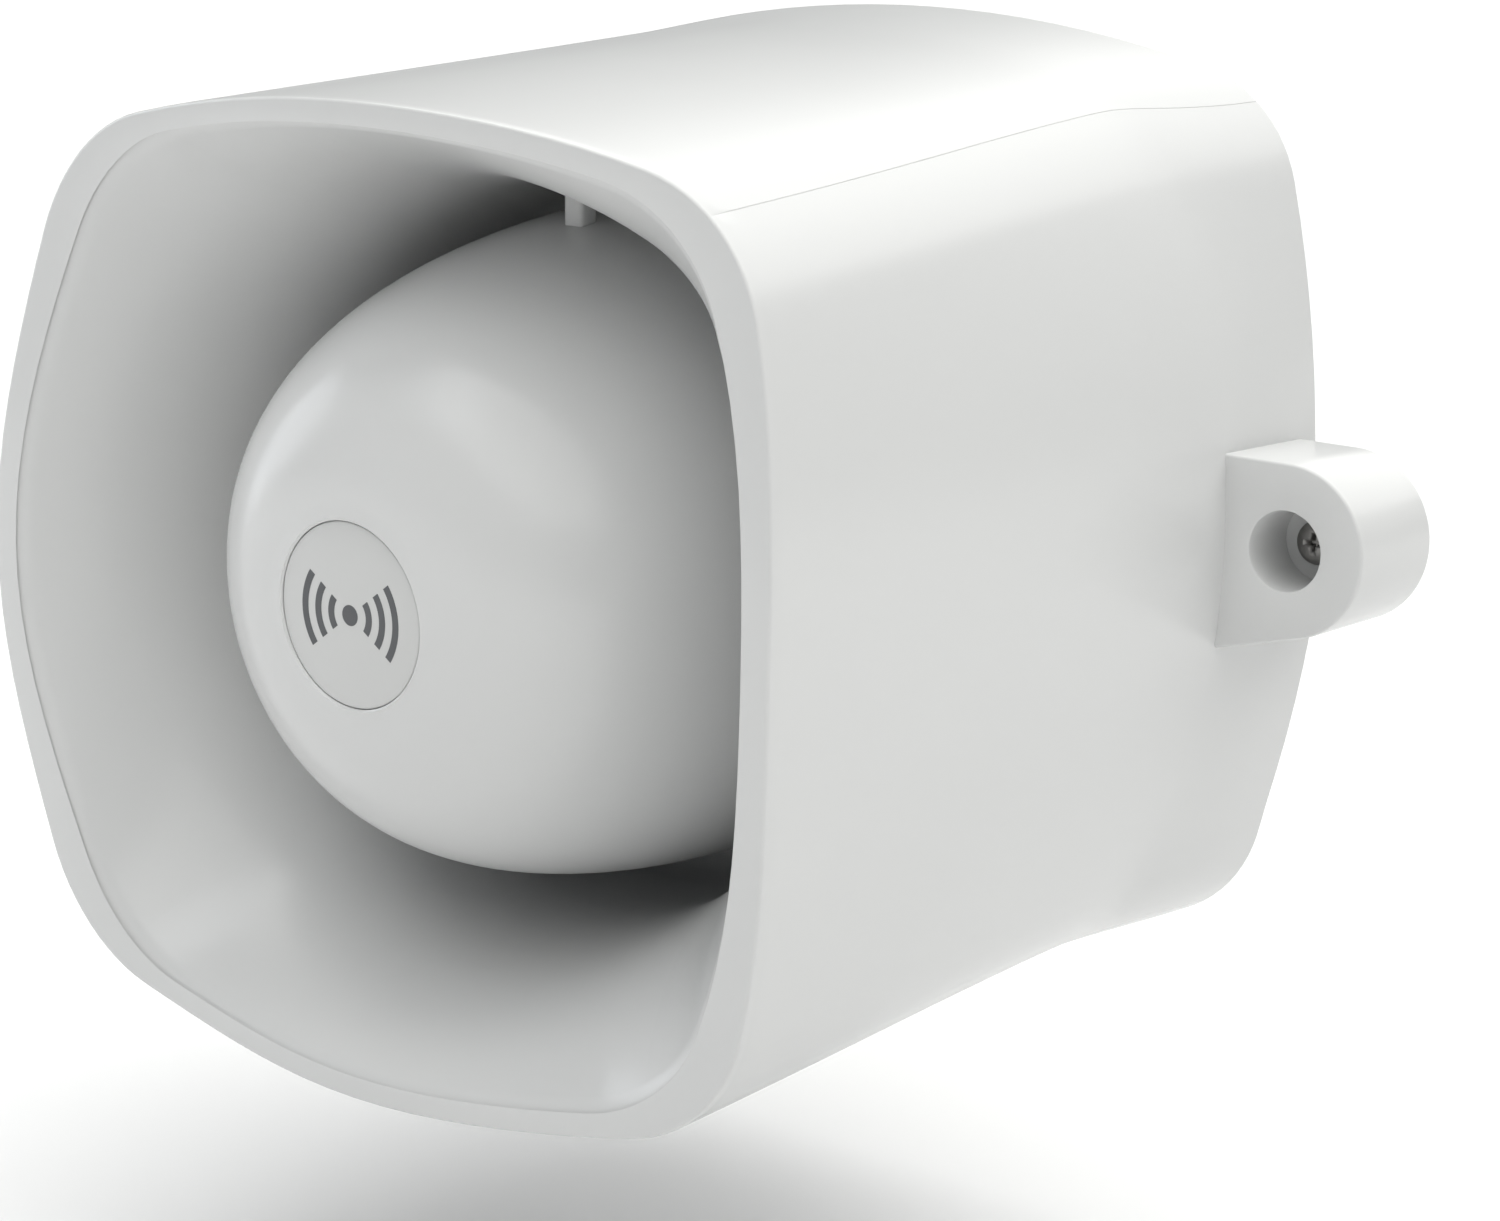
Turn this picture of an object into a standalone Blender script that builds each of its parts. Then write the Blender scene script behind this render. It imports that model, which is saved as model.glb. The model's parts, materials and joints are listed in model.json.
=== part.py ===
"""A wall-mounted, self-contained siren horn, modelled piece by piece in Blender.

Frame: metres, +Z up. The wall is the plane y = 0 and the horn faces -Y, with +X at the right of a person
facing the horn. The origin is the centre of the base plate's wall face, level with the two side ears.
"""

import math
from collections import namedtuple

import bmesh
import bpy
from mathutils import Matrix

MM = 0.001

# Overall sizes
DEPTH = 115 * MM  # wall to the mean plane of the mouth's rim
MOUTH_DROP = 6 * MM  # the mouth's axis is this far below the ears
WALL = 2.8 * MM  # housing wall
GAP = 0.3 * MM  # between touching pieces

# The base plate sits inside the housing's rear skirt, against a gasket and an inner ledge
PLATE = 3 * MM
GASKET = 0.8 * MM
SKIRT_EDGE = -0.5 * MM
LEDGE_Y = -(PLATE + GASKET + 2 * GAP)
LEDGE = 2.5 * MM

# The housing's outline at three stations, as half sizes and arc radii, and the height of its centre
Station = namedtuple("Station", "half_w half_h side_bow top_bow corner z")
FRONT = Station(67.3 * MM, 63.6 * MM, 151.6 * MM, 202 * MM, 23.9 * MM, -MOUTH_DROP)
WAIST = Station(67.2 * MM, 65.1 * MM, 110.7 * MM, 180 * MM, 23.9 * MM, -1.5 * MM)
REAR = Station(67.9 * MM, 65.6 * MM, 180.8 * MM, 203.5 * MM, 20 * MM, 0.0)
WAIST_Y = -27.4 * MM
RIM_INSIDE = Station(64.6 * MM, 60.8 * MM, 150 * MM, 195 * MM, 25 * MM, -MOUTH_DROP)
SIDE_STEPS, CORNER_STEPS = 4, 5  # segments in each arc of a quarter outline

# Horn flare: from the rim's inner edge to a round well that surrounds the dome
FLARE_END = -70 * MM
FLARE_POWER = 2.2
DUCT_Z = -4 * MM  # height of the well's, the duct's and the driver's axis
WELL_RADIUS = 49.4 * MM
WELL_FLOOR = -47.5 * MM
FLOOR = 3 * MM
FLARE_WALL = 2.3 * MM

# Reflector dome
NOSE = -117.4 * MM
DOME_RADIUS = 44.9 * MM
DOME_LENGTH = 65.5 * MM
DOME_POWER = 0.262
DOME_TILT = math.radians(3)  # the nose dips to the mouth's axis, and the rear is on the duct's
DOME_WALL = 2 * MM
BADGE_RADIUS = 12 * MM
STRUT_Y = -75.4 * MM

# Ears, with the case screws at the bottom of deep counterbores
EAR_X = 76.3 * MM
EAR_RADIUS = 11.7 * MM
EAR_FRONT = -21.8 * MM
EAR_REAR = -4 * MM
TAB_RADIUS = 8 * MM  # the base plate's tab under each ear
COUNTERBORE_RADIUS = 5.35 * MM
COUNTERBORE_FLOOR = -12.4 * MM

# Sound duct and compression driver, front to back on the mouth's axis
DUCT_HOLE = 12.5 * MM
DRIVER_SCREW_CIRCLE = 30.5 * MM

# Circuit board
BOARD_Y = -13.6 * MM  # its rear face
BOARD = 1.6 * MM
BOARD_Z = 38.5 * MM
BOARD_W, BOARD_H = 88 * MM, 34 * MM

# Tamper switch
TAMPER_X, TAMPER_Z = -30 * MM, 33 * MM
TAMPER_PROUD = 2.5 * MM  # how far the free plunger stands out of the wall plane

# Cable entry and wall-screw holes
CABLE_X, CABLE_Z = 0.0, -42 * MM
WALL_HOLE_X, WALL_HOLE_Z = 51.5 * MM, 34 * MM
WALL_HOLE_RADIUS = 2.5 * MM

for old in list(bpy.data.objects):
    bpy.data.objects.remove(old, do_unlink=True)
parts = bpy.data.collections.new("siren_horn")
cutters = bpy.data.collections.new("siren_horn_cutters")
cutters.hide_render = True
for group in (parts, cutters):
    bpy.context.scene.collection.children.link(group)


# Materials ------------------------------------------------------------------------------------------------


def material(name, colour, roughness, metallic=0.0):
    made = bpy.data.materials.new(name)
    made.use_nodes = True
    shader = made.node_tree.nodes["Principled BSDF"]
    shader.inputs["Base Color"].default_value = (*colour, 1)
    shader.inputs["Roughness"].default_value = roughness
    shader.inputs["Metallic"].default_value = metallic
    return made


WHITE = material("white_plastic", (0.80, 0.80, 0.78), 0.25)
BADGE = material("badge_white", (0.70, 0.70, 0.68), 0.35)
GREY = material("grey_plastic", (0.55, 0.56, 0.57), 0.45)
STEEL = material("screw_steel", (0.42, 0.41, 0.40), 0.35, 1.0)
ZINC = material("zinc_steel", (0.66, 0.67, 0.68), 0.35, 1.0)
FERRITE = material("ferrite", (0.06, 0.06, 0.065), 0.7)
COPPER = material("copper_wire", (0.72, 0.32, 0.14), 0.35, 1.0)
RESIN = material("diaphragm_resin", (0.45, 0.26, 0.10), 0.5)
RUBBER = material("black_rubber", (0.03, 0.03, 0.03), 0.8)
FOAM = material("gasket_foam", (0.10, 0.10, 0.105), 0.9)
BOARD_GREEN = material("board_green", (0.03, 0.22, 0.08), 0.4)
BLACK = material("black_component", (0.03, 0.03, 0.032), 0.5)
SLEEVE = material("capacitor_sleeve", (0.03, 0.05, 0.16), 0.35)
ALUMINIUM = material("aluminium", (0.78, 0.79, 0.80), 0.4, 1.0)
TERMINAL = material("terminal_green", (0.05, 0.30, 0.14), 0.45)
TAPE = material("winding_tape", (0.75, 0.60, 0.12), 0.5)
RED_WIRE = material("red_wire", (0.55, 0.03, 0.02), 0.45)
BLACK_WIRE = material("black_wire", (0.02, 0.02, 0.02), 0.45)


# Making and combining objects -----------------------------------------------------------------------------


def add(mesh, name, paint, group=parts):
    made = bpy.data.objects.new(name, mesh)
    group.objects.link(made)
    if paint:
        mesh.materials.append(paint)
    return made


def from_bmesh(shape, name, paint=None, group=parts):
    bmesh.ops.recalc_face_normals(shape, faces=shape.faces)
    mesh = bpy.data.meshes.new(name)
    shape.to_mesh(mesh)
    shape.free()
    mesh.shade_smooth()
    mesh.set_sharp_from_angle(angle=math.radians(35))
    return add(mesh, name, paint, group)


def box(name, low, high, paint=None, group=parts):
    shape = bmesh.new()
    size = [b - a for a, b in zip(low, high)]
    middle = [(a + b) / 2 for a, b in zip(low, high)]
    bmesh.ops.create_cube(shape, size=1, matrix=Matrix.Diagonal((*size, 1)))
    made = from_bmesh(shape, name, paint, group)
    made.location = middle
    return made


def rod(name, x, z, y_front, y_rear, radius, paint=None, group=parts, sides=24):
    """A cylinder along Y."""
    shape = bmesh.new()
    bmesh.ops.create_cone(
        shape,
        cap_ends=True,
        segments=sides,
        radius1=radius,
        radius2=radius,
        depth=y_rear - y_front,
        matrix=Matrix.Rotation(math.pi / 2, 4, "X"),
    )
    made = from_bmesh(shape, name, paint, group)
    made.location = (x, (y_front + y_rear) / 2, z)
    return made


def turned(name, profile, x, z, paint=None, group=parts, steps=48):
    """Turns a profile of (radius, y) points about the line along Y through (x, z).

    A profile whose first and last radius is 0 is open, and any other is a closed ring section.
    """
    closed = not (profile[0][0] == 0 and profile[-1][0] == 0)
    pairs = zip(profile, profile[1:] + profile[:1])
    area = sum(a[0] * b[1] - b[0] * a[1] for a, b in pairs)
    points = profile if area < 0 else profile[::-1]
    mesh = bpy.data.meshes.new(name)
    edges = [(i, i + 1) for i in range(len(points) - 1)]
    if closed:
        edges.append((len(points) - 1, 0))
    mesh.from_pydata([(r, 0, y) for r, y in points], edges, [])
    made = add(mesh, name, paint, group)
    made.location = (x, 0, z)
    made.rotation_euler = (-math.pi / 2, 0, 0)
    screw = made.modifiers.new("turn", "SCREW")
    screw.steps = screw.render_steps = steps
    screw.use_merge_vertices = True
    screw.merge_threshold = 0.00005
    screw.use_smooth_shade = False
    return made


def plate(name, outline, y_front, y_rear, paint=None, group=parts):
    """A flat outline of (x, z) points, extruded along Y."""
    curve = bpy.data.curves.new(name, "CURVE")
    curve.dimensions = "2D"
    curve.fill_mode = "BOTH"
    curve.extrude = (y_rear - y_front) / 2
    spline = curve.splines.new("POLY")
    spline.points.add(len(outline) - 1)
    for point, (x, z) in zip(spline.points, outline):
        point.co = (x, z, 0, 1)
    spline.use_cyclic_u = True
    made = as_mesh(add(curve, name + "_outline", None, group), name, paint, group)
    made.location = (0, (y_front + y_rear) / 2, 0)
    made.rotation_euler = (math.pi / 2, 0, 0)
    return made


def as_mesh(curve_object, name, paint, group):
    """Replaces a curve object with a welded mesh object."""
    bpy.context.view_layer.update()
    solid = curve_object.evaluated_get(bpy.context.evaluated_depsgraph_get())
    mesh = bpy.data.meshes.new_from_object(solid)
    shape = bmesh.new()
    shape.from_mesh(mesh)
    bmesh.ops.remove_doubles(shape, verts=shape.verts, dist=1e-6)
    bmesh.ops.recalc_face_normals(shape, faces=shape.faces)
    shape.to_mesh(mesh)
    shape.free()
    bpy.data.objects.remove(curve_object, do_unlink=True)
    mesh.name = name
    return add(mesh, name, paint, group)


def wire(name, route, radius, paint, roundness=2):
    """A round wire along the straight segments of a route."""
    curve = bpy.data.curves.new(name, "CURVE")
    curve.dimensions = "3D"
    curve.bevel_depth = radius
    curve.bevel_resolution = roundness
    curve.use_fill_caps = True
    spline = curve.splines.new("POLY")
    spline.points.add(len(route) - 1)
    for point, co in zip(spline.points, route):
        point.co = (*co, 1)
    return as_mesh(add(curve, name + "_route", None), name, paint, parts)


def smooth_route(points, steps):
    """Catmull-Rom points through the given ones."""

    def blend(p, q, r, s, t):
        square, cube = 2 * p - 5 * q + 4 * r - s, 3 * q - p - 3 * r + s
        return (2 * q + (r - p) * t + square * t**2 + cube * t**3) / 2

    ends = [points[0]] + list(points) + [points[-1]]
    route = []
    for four in zip(ends, ends[1:], ends[2:], ends[3:]):
        for i in range(steps):
            route.append(tuple(blend(*values, i / steps) for values in zip(*four)))
    return route + [tuple(points[-1])]


def boolean(target, other, operation):
    if other.name not in cutters.objects:
        for group in list(other.users_collection):
            group.objects.unlink(other)
        cutters.objects.link(other)
    other.hide_render = True
    other.display_type = "WIRE"
    made = target.modifiers.new(other.name, "BOOLEAN")
    made.object = other
    made.operation = operation
    made.solver = "EXACT"


def cut(target, *others):
    for other in others:
        boolean(target, other, "DIFFERENCE")


def join(target, *others):
    for other in others:
        boolean(target, other, "UNION")


# Outlines -------------------------------------------------------------------------------------------------


def bowed_outline(shape, inset=0.0):
    """(x, z) points round a square whose sides are shallow arcs and whose corners are tighter arcs.

    Every outline has the same number of points, so that outlines can be lofted to each other.
    """
    half_w, half_h = shape.half_w - inset, shape.half_h - inset
    side, top, corner = shape.side_bow - inset, shape.top_bow - inset, max(shape.corner - inset, 1 * MM)
    side_x, top_z = half_w - side, half_h - top
    # The corner arc touches both bows from inside, so its centre is side - corner from one centre and
    # top - corner from the other.
    apart = math.hypot(side_x, top_z)
    along = ((side - corner) ** 2 - (top - corner) ** 2 + apart**2) / (2 * apart)
    across = math.sqrt((side - corner) ** 2 - along**2)
    ux, uz = -side_x / apart, top_z / apart
    x, z = side_x + along * ux - across * uz, along * uz + across * ux
    first, last = math.atan2(z, x - side_x), math.atan2(z - top_z, x)
    arcs = (
        (side_x, 0, side, 0, first, SIDE_STEPS),
        (x, z, corner, first, last, CORNER_STEPS),
        (0, top_z, top, last, math.pi / 2, SIDE_STEPS),
    )
    quarter = [
        (cx + r * math.cos(a + (b - a) * i / n), cz + r * math.sin(a + (b - a) * i / n))
        for cx, cz, r, a, b, n in arcs
        for i in range(n)
    ]
    right_top = quarter + [(0.0, half_h)]
    left_top = [(-px, pz) for px, pz in reversed(quarter)]
    upper = right_top + left_top
    lower = [(px, -pz) for px, pz in reversed(upper[1:-1])]
    return [(px, pz + shape.z) for px, pz in upper + lower]


def station_at(y):
    """The housing's outline at y: a smooth curve through the front, waist and rear stations."""
    t, turn = (y + DEPTH) / DEPTH, (WAIST_Y + DEPTH) / DEPTH
    values = []
    for front, waist, rear in zip(FRONT, WAIST, REAR):
        before, after = (waist - front) / turn, (rear - waist) / (1 - turn)
        slope = 0.0 if before * after <= 0 else 2 * before * after / (before + after)
        if t <= turn:
            values.append(hermite(front, waist, before, slope, turn, t / turn))
        else:
            values.append(hermite(waist, rear, slope, after, 1 - turn, (t - turn) / (1 - turn)))
    return Station(*values)


def hermite(start, end, start_slope, end_slope, span, t):
    return (
        start * (1 + 2 * t) * (1 - t) ** 2
        + end * t * t * (3 - 2 * t)
        + span * start_slope * t * (1 - t) ** 2
        - span * end_slope * t * t * (1 - t)
    )


def crown(x, z):
    """How far the rim stands back (+) or forward (-) of its mean plane: the corners stand back."""
    angle = math.atan2(z + MOUTH_DROP, x)
    return (-0.6 * math.cos(2 * angle) - 2.0 * math.cos(4 * angle)) * MM


def fade(y):
    """The share of the rim's crown at y: it is gone halfway back."""
    return max(0.0, -2 * y / DEPTH - 1)


def ring(outline, y, crowned=0.0):
    return [(x, y + crowned * crown(x, z), z) for x, z in outline]


def circle_like(outline, radius):
    """The points of a circle about the duct's axis, at the same angles as the outline's points."""
    angles = [math.atan2(z + MOUTH_DROP, x) for x, z in outline]
    return [(radius * math.cos(a), radius * math.sin(a) + DUCT_Z) for a in angles]


def between(first, second, share):
    return [(a + (c - a) * share, b + (d - b) * share) for (a, b), (c, d) in zip(first, second)]


def flare_ring(t, outward=0.0, back=0.0):
    """The flare's ring at t, from 0 at the rim's inner edge to 1 where it becomes the round well."""
    rim = bowed_outline(RIM_INSIDE, -outward)
    share = 1 - (1 - t) ** FLARE_POWER
    y = -DEPTH + (FLARE_END + DEPTH) * t + back
    return ring(between(rim, circle_like(rim, WELL_RADIUS + outward), share), y, (1 - t) ** 2)


def loft(rings, name, paint, group=parts):
    """Joins rings of equal length, the last to the first, into one closed surface."""
    shape = bmesh.new()
    rows = [[shape.verts.new(point) for point in row] for row in rings]
    count = len(rows[0])
    for row, following in zip(rows, rows[1:] + rows[:1]):
        for i in range(count):
            j = (i + 1) % count
            shape.faces.new((row[i], row[j], following[j], following[i]))
    return from_bmesh(shape, name, paint, group)


def ear_outline(side, inset=0.0):
    """A D shape that starts inside the housing's side wall; side is 1 at the right and -1 at the left."""
    root = 65.6 * MM
    radius = EAR_RADIUS - inset
    arc = [math.radians(-90 + 15 * i) for i in range(13)]
    points = [(root, -radius)] + [(EAR_X + radius * math.cos(a), radius * math.sin(a)) for a in arc]
    points.append((root, radius))
    return [(side * x, z) for x, z in (points if side > 0 else reversed(points))]


# Housing --------------------------------------------------------------------------------------------------


def housing():
    """The outer shell, folded back at the rim into the horn flare and the round well round the dome."""
    outside = [SKIRT_EDGE, -13 * MM, WAIST_Y, -48 * MM, -80 * MM, -DEPTH]
    rings = [ring(bowed_outline(station_at(y)), y, fade(y)) for y in outside]
    rings += [flare_ring(t) for t in (0, 0.16, 0.36, 0.62, 1)]
    base = bowed_outline(RIM_INSIDE)
    well = ((WELL_RADIUS, -54 * MM), (WELL_RADIUS - 2 * MM, WELL_FLOOR - 1.6 * MM))
    well += ((WELL_RADIUS - 5 * MM, WELL_FLOOR), (DUCT_HOLE, WELL_FLOOR), (DUCT_HOLE, WELL_FLOOR + FLOOR))
    well += ((WELL_RADIUS - 3 * MM, WELL_FLOOR + FLOOR), (WELL_RADIUS + FLARE_WALL, WELL_FLOOR - 3 * MM))
    rings += [ring(circle_like(base, radius), y) for radius, y in well]
    rings += [flare_ring(t, FLARE_WALL, 1 * MM) for t in (1, 0.62, 0.36, 0.22)]
    inside = ((-106 * MM, 0), (-80 * MM, 0), (-48 * MM, 0), (WAIST_Y, 0), (-10 * MM, 0))
    inside += ((LEDGE_Y - 2.4 * MM, LEDGE), (LEDGE_Y, LEDGE), (LEDGE_Y, 0), (SKIRT_EDGE, 0))
    rings += [ring(bowed_outline(station_at(y), WALL + ledge), y, fade(y)) for y, ledge in inside]
    shell = loft(rings, "horn_housing", WHITE)
    for side, label in ((1, "right"), (-1, "left")):
        join(shell, plate("ear_" + label, ear_outline(side), EAR_FRONT, EAR_REAR, None, cutters))
    for number, (x, z) in enumerate(driver_screw_places()):
        ends = (WELL_FLOOR + 1 * MM, -37.2 * MM)
        join(shell, rod(f"driver_boss_{number}", x, z, *ends, 3.8 * MM, None, cutters, 16))
        cut(shell, rod(f"driver_pilot_{number}", x, z, -44 * MM, -36 * MM, 1.8 * MM, None, cutters, 12))
    for side, label in ((1, "right"), (-1, "left")):
        x = side * EAR_X
        bore = (-30 * MM, COUNTERBORE_FLOOR, COUNTERBORE_RADIUS)
        cut(
            shell,
            rod("counterbore_" + label, x, 0, *bore, None, cutters, 24),
            rod("screw_hole_" + label, x, 0, -16 * MM, -7 * MM, 2.4 * MM, None, cutters, 12),
            rod("boss_pocket_" + label, x, 0, -9.2 * MM, 2 * MM, 5.0 * MM, None, cutters, 20),
            box("tab_notch_" + label, *tab_notch(side), None, cutters),
        )
    return shell


def tab_notch(side):
    """Low and high corners of the notch that lets the base plate's tab through the skirt."""
    reach = sorted((side * 60 * MM, side * 92 * MM))
    half = TAB_RADIUS + 2 * GAP
    return (reach[0], -PLATE - GAP, -half), (reach[1], 2 * MM, half)


def driver_screw_places():
    """(x, z) of the four driver screws."""
    angles = [math.radians(45 + 90 * i) for i in range(4)]
    return [
        (DRIVER_SCREW_CIRCLE * math.cos(a), DRIVER_SCREW_CIRCLE * math.sin(a) + DUCT_Z)
        for a in angles
    ]


# Dome and badge -------------------------------------------------------------------------------------------


def dome_radius(behind_nose, radius, length):
    return radius * (1 - (1 - behind_nose / length) ** 2) ** DOME_POWER


def tilt(made):
    """Turns a piece of the dome about its nose, so that its rear rises."""
    about = Matrix.Translation((0, NOSE, -MOUTH_DROP)) @ Matrix.Rotation(DOME_TILT, 4, "X")
    made.matrix_world = about @ Matrix.Translation((0, -NOSE, 0)) @ Matrix.Rotation(-math.pi / 2, 4, "X")


def dome():
    """The bell-shaped reflector, open to the rear, with three struts that reach the flare."""
    shares = [0.0075, 0.025, 0.06, 0.12, 0.22, 0.36, 0.55, 0.77, 1.0]
    outer = [
        (dome_radius(DOME_LENGTH * s, DOME_RADIUS, DOME_LENGTH), NOSE + DOME_LENGTH * s)
        for s in shares
    ]
    inner_length = DOME_LENGTH - 2.6 * MM
    inner = [
        (
            dome_radius(inner_length * s, DOME_RADIUS - DOME_WALL, inner_length),
            NOSE + DOME_LENGTH - inner_length + inner_length * s,
        )
        for s in shares[2::2]
    ]
    recess = [(BADGE_RADIUS + GAP, NOSE + 1 * MM), (BADGE_RADIUS + GAP, NOSE)]
    profile = [(0, NOSE + 1 * MM)] + recess + outer + inner[::-1]
    profile.append((0, inner[0][1] - 0.4 * MM))
    shell = turned("reflector_dome", profile, 0, 0, WHITE, steps=40)
    tilt(shell)
    for number, angle in enumerate((90, 210, 330)):
        strut = box(
            f"dome_strut_{number}",
            (DOME_RADIUS - 2.7 * MM, STRUT_Y - 1.6 * MM, -1.7 * MM),
            (WELL_RADIUS - GAP - 0.1 * MM, STRUT_Y + 1.6 * MM, 1.7 * MM),
            None,
            cutters,
        )
        turn = Matrix.Rotation(-math.radians(angle), 4, "Y")
        axis = Matrix.Translation((0, 0, DUCT_Z))
        strut.matrix_world = axis @ turn @ Matrix.Translation(strut.location)
        join(shell, strut)


def badge():
    """A flat disc in the recess at the dome's nose."""
    front = NOSE - 0.1 * MM
    back = NOSE + 1 * MM - GAP
    edge = [(BADGE_RADIUS - 0.4 * MM, front), (BADGE_RADIUS, front + 0.3 * MM), (BADGE_RADIUS, back)]
    tilt(turned("badge_disc", [(0, front), *edge, (0, back)], 0, 0, BADGE))


# Sound duct and driver ------------------------------------------------------------------------------------


def driver():
    """The throat tube and the compression driver behind it, front to back."""

    def stack(name, profile, paint, steps=24):
        turned(name, [(r * MM, y * MM) for r, y in profile], 0, DUCT_Z, paint, steps=steps)

    stack(
        "throat_tube",
        [(8.0, -92), (9.6, -92), (12, -60), (12, -44.2), (24, -44.2), (24, -42.2), (7.5, -42.2)],
        WHITE,
    )
    stack("driver_gasket", [(12, -41.9), (24, -41.9), (24, -40.9), (12, -40.9)], FOAM)
    cap = turned(
        "driver_cap",
        [
            (r * MM, y * MM)
            for r, y in (
                (7.5, -40.6), (25.5, -40.6), (25.5, -36.9), (34.5, -36.9),
                (34.5, -32.6), (19.5, -32.6), (19.5, -38.2), (7.5, -38.2),
            )
        ],
        0,
        DUCT_Z,
        GREY,
        steps=28,
    )
    for number, (x, place_z) in enumerate(driver_screw_places(), 1):
        cut(cap, rod(f"cap_hole_{number}", x, place_z, -40 * MM, -30 * MM, 1.8 * MM, None, cutters, 12))
        sizes = (2.8 * MM, 1.8 * MM, 1.5 * MM, 9.5 * MM)
        screw(f"driver_screw_{number}", x, place_z, -32.3 * MM, *sizes, -1)
    stack(
        "diaphragm_dome",
        [
            (0, -36.2), (6, -35.9), (11, -34.6), (14.0, -32.3), (15.6, -32.3),
            (15.6, -31.6), (12.6, -31.6), (10, -33.9), (5.5, -35.2), (0, -35.5),
        ],
        RESIN,
    )
    stack(
        "diaphragm_surround",
        [
            (16.0, -32.2), (17.2, -33.0), (18.4, -32.2), (25, -32.2), (25, -31.0),
            (20, -31.0), (20, -31.6), (18.2, -31.6), (17.2, -32.3), (16.0, -31.6),
        ],
        RESIN,
    )
    stack("voice_coil", [(11.9, -31.3), (12.8, -31.3), (12.8, -24.5), (11.9, -24.5)], COPPER)
    stack("top_plate", [(13.4, -30.6), (26, -30.6), (26, -27.6), (13.4, -27.6)], ZINC)
    stack("magnet_ring", [(16.5, -27.3), (25.4, -27.3), (25.4, -18.3), (16.5, -18.3)], FERRITE)
    stack("yoke", [(0, -30.4), (11.3, -30.4), (11.3, -18), (24.5, -18), (24.5, -14.5), (0, -14.5)], ZINC)
    leads()


def screw(name, x, z, seat, head_radius, head, shank_radius, length, way):
    """A pan-head screw whose head's underside is at y = seat.

    way is the direction of the shank along Y, and the head is on the other side of the seat.
    """
    top, tip = seat - way * head, seat + way * length
    profile = [
        (0, top),
        (head_radius * 0.68, top),
        (head_radius, top + way * head * 0.55),
        (head_radius, seat),
        (shank_radius, seat),
        (shank_radius, tip),
        (0, tip),
    ]
    return turned(name, profile, x, z, STEEL, steps=12)


def cross_recess(made, x, z, top, head_radius, deep):
    """Cuts a cross into the head of a screw that faces -Y."""
    arm, slot = head_radius * 0.52, head_radius * 0.11
    for label, half_x, half_z in (("wide", arm, slot), ("tall", slot, arm)):
        low, high = (x - half_x, top - 1 * MM, z - half_z), (x + half_x, top + deep, z + half_z)
        cut(made, box(f"{made.name}_{label}", low, high, None, cutters))


def leads():
    """Two insulated leads from the circuit board to the driver's rim."""
    for name, x, paint in (("driver_lead_red", 13.5, RED_WIRE), ("driver_lead_black", 17.5, BLACK_WIRE)):
        drop = 0.5 * (x - 13.5)
        places = ((-15.9, 24.5), (-19, 24.3), (-23, 23.6 - drop), (-26.5, 21.6 - drop), (-29.2, 20.2 - drop))
        points = [(x * MM, y * MM, z * MM) for y, z in places]
        wire(name, smooth_route(points, 3), 0.7 * MM, paint)


# Circuit board and its components -------------------------------------------------------------------------


def board_corners():
    inset = 4.5 * MM
    return [
        (sx * (BOARD_W / 2 - inset), BOARD_Z + sz * (BOARD_H / 2 - inset))
        for sx in (-1, 1)
        for sz in (-1, 1)
    ]


def electronics():
    """The siren board on the base plate's posts, with its components on the side that faces the horn."""
    front = BOARD_Y - BOARD
    half = BOARD_W / 2
    board = box(
        "circuit_board",
        (-half, front, BOARD_Z - BOARD_H / 2),
        (half, BOARD_Y, BOARD_Z + BOARD_H / 2),
        BOARD_GREEN,
    )
    for number, (x, z) in enumerate(board_corners(), 1):
        through = (front - 1 * MM, BOARD_Y + 1 * MM, 1.9 * MM)
        cut(board, rod(f"board_hole_{number}", x, z, *through, None, cutters, 16))
        screw(f"board_screw_{number}", x, z, front - GAP, 2.8 * MM, 1.6 * MM, 1.4 * MM, 7.5 * MM, 1)
    on_board = front - GAP
    transformer(-19 * MM, 41 * MM, on_board)
    for name, x, z, radius, tall in (
        ("capacitor_large", 1.2 * MM, 47 * MM, 5.0 * MM, 16 * MM),
        ("capacitor_small", 9 * MM, 37 * MM, 3.2 * MM, 11 * MM),
    ):
        capacitor(name, x, z, radius, tall, on_board)
    heat_sink(21 * MM, 48.5 * MM, on_board)
    for name, x in (("transistor_left", 15.5 * MM), ("transistor_right", 27.5 * MM)):
        transistor(name, x, 46.0 * MM, on_board)
    chip("tone_chip", 22 * MM, 34.5 * MM, on_board)
    terminals(-2.5 * MM, 26.8 * MM, on_board)


def transformer(x, z, rear):
    """A small laminated core with its winding."""
    low, high = (x - 11 * MM, rear - 15 * MM, z - 3.6 * MM), (x + 11 * MM, rear, z + 3.6 * MM)
    made = box("transformer", low, high, TAPE)
    for label, half_x, half_z, low, high in (("winding", 8, 8.5, -13, -2.2), ("foot", 9, 8, -2.6, 0)):
        block = box(
            "transformer_" + label,
            (x - half_x * MM, rear + low * MM, z - half_z * MM),
            (x + half_x * MM, rear + high * MM, z + half_z * MM),
            None,
            cutters,
        )
        join(made, block)


def capacitor(name, x, z, radius, tall, rear):
    """An electrolytic can with a groove near the board."""
    groove = rear - 2.4 * MM
    turned(
        name,
        [
            (0, rear - tall), (radius * 0.9, rear - tall), (radius, rear - tall + 0.5 * MM),
            (radius, groove - 0.7 * MM), (radius * 0.92, groove), (radius, groove + 0.7 * MM),
            (radius, rear), (0, rear),
        ],
        x,
        z,
        SLEEVE,
        steps=24,
    )


def heat_sink(x, z, rear):
    """A back plate with five fins."""
    top = rear - 18 * MM
    made = box("heat_sink", (x - 12.5 * MM, top, z), (x + 14 * MM, rear, z + 1.6 * MM), ALUMINIUM)
    for i in range(5):
        at = x + (-12.5 + 6.225 * i) * MM
        low, high = (at, top, z + 1 * MM), (at + 1.6 * MM, rear, z + 5.6 * MM)
        join(made, box(f"fin_{i}", low, high, None, cutters))


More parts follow.
